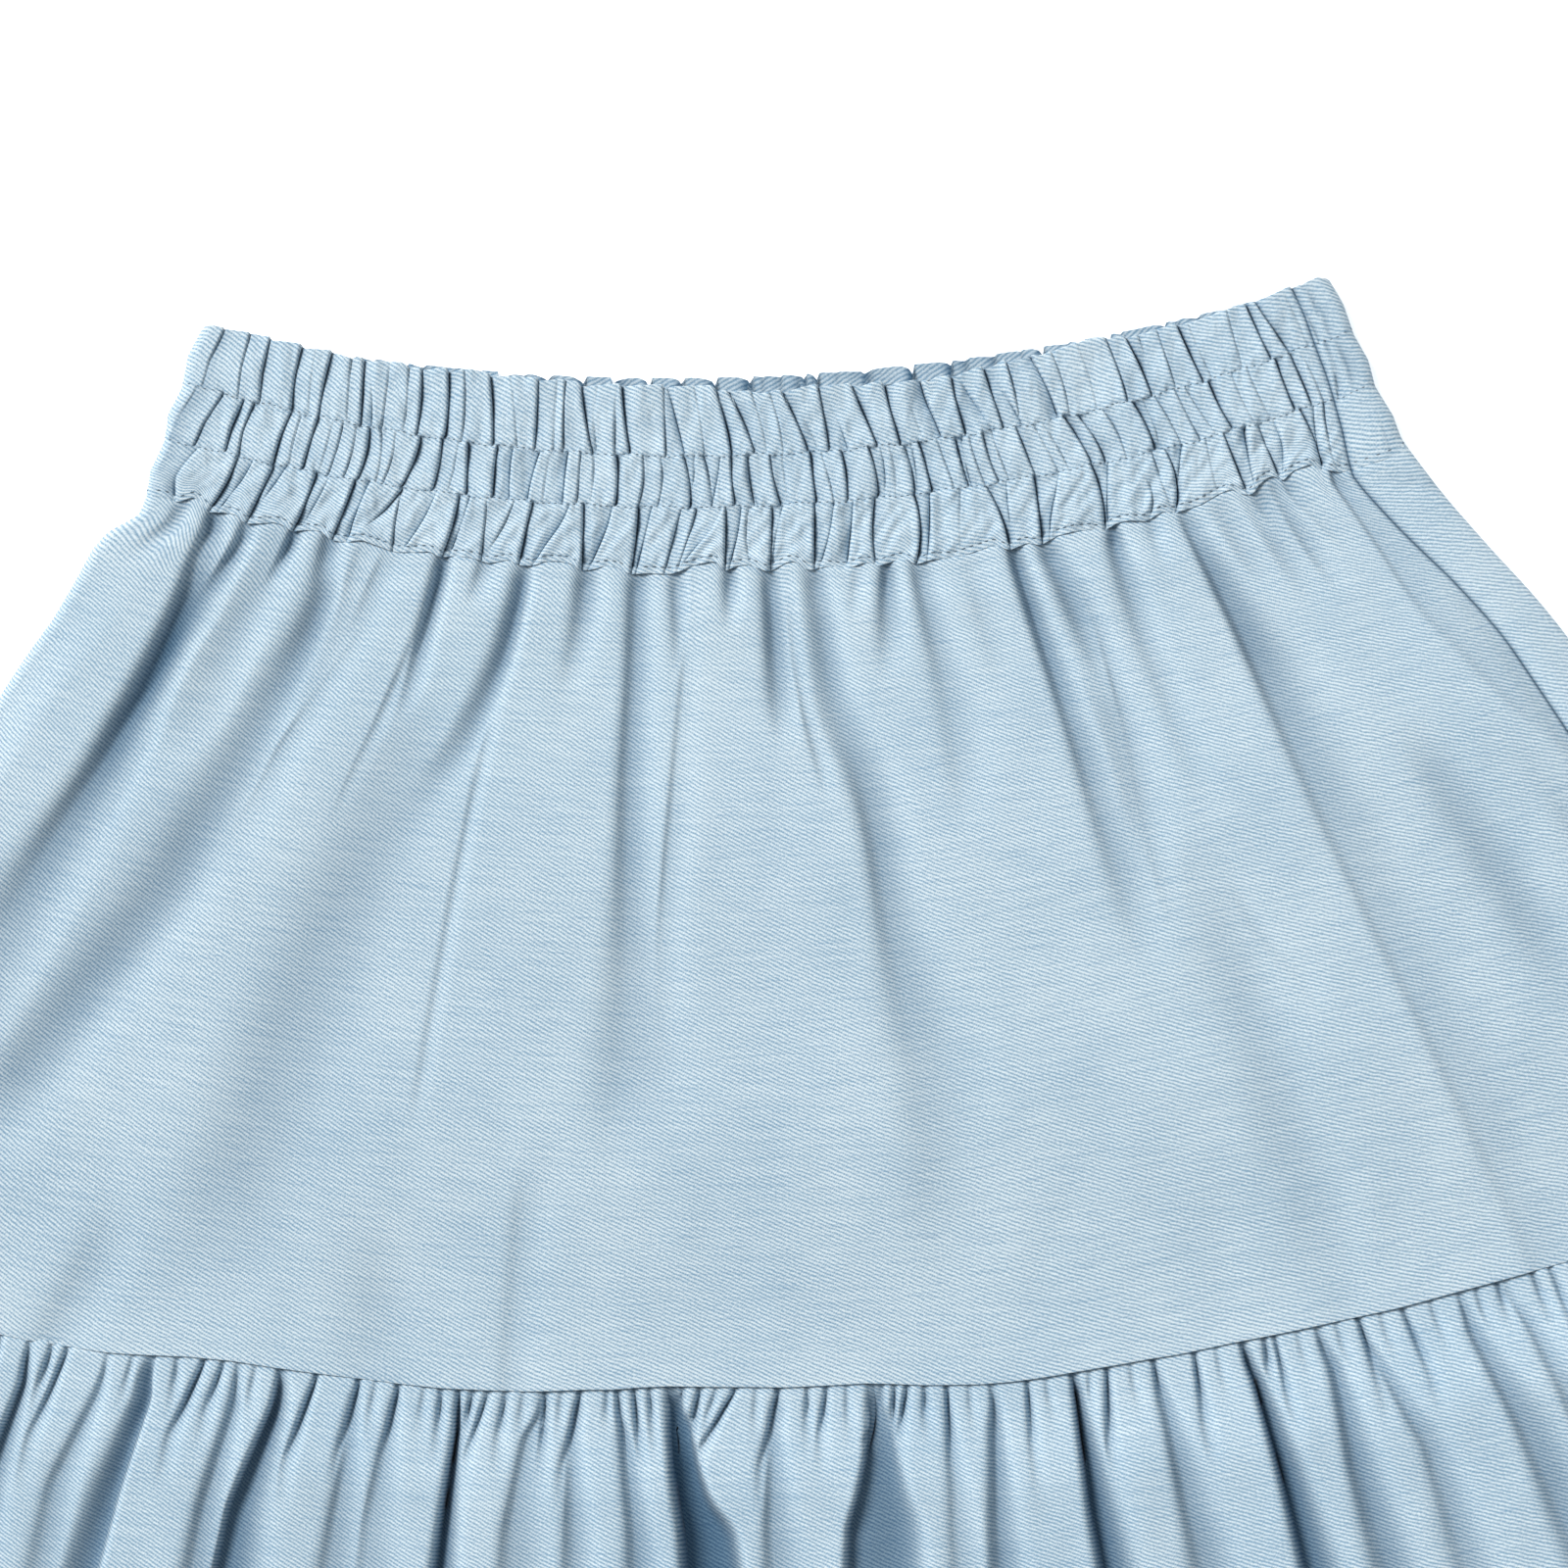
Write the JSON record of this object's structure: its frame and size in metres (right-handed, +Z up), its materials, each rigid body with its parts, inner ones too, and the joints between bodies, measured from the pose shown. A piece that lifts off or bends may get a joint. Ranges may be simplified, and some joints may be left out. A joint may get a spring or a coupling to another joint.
{
  "type": "tiered skirt",
  "caption": "Tiered skirt laid flat, with an elastic gathered waistband, a softly folded first tier and a gathered ruffle tier.",
  "frame": {"origin": "bottom centre of the laid-flat skirt's bounding box, on the surface it rests on", "axes": "+X to the skirt's right side as seen from above, +Y from the hem towards the waist, +Z up off the surface"},
  "size_m": [0.8612, 0.5819, 0.0152],
  "materials": {
    "waistband_cloth": "light blue cotton twill, matt, gathered on elastic",
    "tier_cloth": "light blue cotton twill with fine darker slubs, matt",
    "ruffle_cloth": "light blue cotton twill with fine darker slubs, matt, gathered",
    "thread": "grey blue sewing thread"
  },
  "bodies": {
    "root": {"waistband_front": "waistband_cloth", "waistband_back": "waistband_cloth", "tier1_front": "tier_cloth", "tier1_back": "tier_cloth", "ruffle_front": "ruffle_cloth", "ruffle_back": "ruffle_cloth"}
  },
  "joints": []
}
